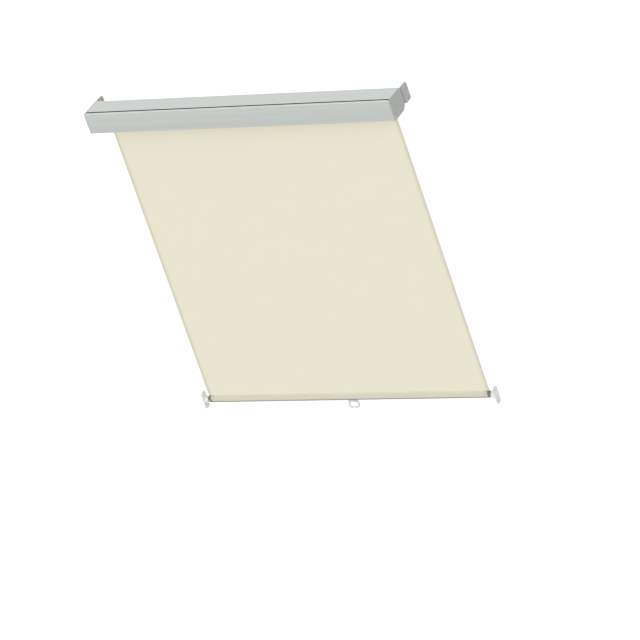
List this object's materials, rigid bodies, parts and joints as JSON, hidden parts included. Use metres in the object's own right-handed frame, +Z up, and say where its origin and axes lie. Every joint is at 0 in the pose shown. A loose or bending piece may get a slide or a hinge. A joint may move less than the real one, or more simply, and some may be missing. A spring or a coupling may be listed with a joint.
{
  "type": "roller blind for a roof window",
  "caption": "Spring roller blind with side hooks: cloth on a sprung tube in an aluminium casing, with a wrapped bottom bar and a clear pull loop.",
  "frame": {"origin": "middle of the casing's flat top face, which comes up under the head of the window's sash", "axes": "+Z up the slope of the window, along the hanging cloth; +X to the right seen from the room; +Y towards the glass, away from the room"},
  "size_m": [0.64, 0.07, 0.6618],
  "materials": {
    "anodised_aluminium": "satin natural anodised",
    "roller_aluminium": "mill finish",
    "grey_plastic": "moulded, matt light grey",
    "white_plastic": "moulded, matt white",
    "strip_plastic": "extruded, matt grey",
    "dark_plastic": "moulded, matt dark grey",
    "clear_plastic": "moulded, clear",
    "steel": "zinc plated",
    "cloth": "plain woven blackout cloth, cream"
  },
  "bodies": {
    "casing_body": {"casing": "anodised_aluminium", "end_cap_left": "grey_plastic", "end_cap_right": "grey_plastic", "cap_screws": "steel", "bracket_left": "grey_plastic", "bracket_right": "grey_plastic", "idle_pin": "steel", "spring_spindle": "steel", "spring_hub": "grey_plastic", "torsion_spring": "steel", "cloth": "cloth", "hook_left": "white_plastic", "hook_right": "white_plastic"},
    "roller_body": {"roller_tube": "roller_aluminium", "idle_plug": "grey_plastic", "spring_plug": "grey_plastic", "spring_carrier": "grey_plastic", "cloth_spline": "white_plastic", "cloth_roll": "cloth"},
    "bar_body": {"bottom_bar": "roller_aluminium", "bar_strip": "strip_plastic", "cloth_hem": "cloth", "bar_cap_left": "dark_plastic", "bar_cap_right": "dark_plastic", "pull_tab": "clear_plastic"}
  },
  "joints": [
    {"name": "bar_travel", "type": "slide", "parent": "casing_body", "child": "bar_body", "axis": [0, 0, 1], "range_m": [-0.325, 0.57], "deforming": ["cloth"]},
    {"name": "tube_spin", "type": "hinge", "parent": "casing_body", "child": "roller_body", "pos_m": [0, 0.002, -0.022], "axis": [1, 0, 0], "range_deg": [-1400, 2450]}
  ],
  "couplings": [
    {"joint": "tube_spin", "follows": "bar_travel", "rad_per_m": 73.5}
  ]
}
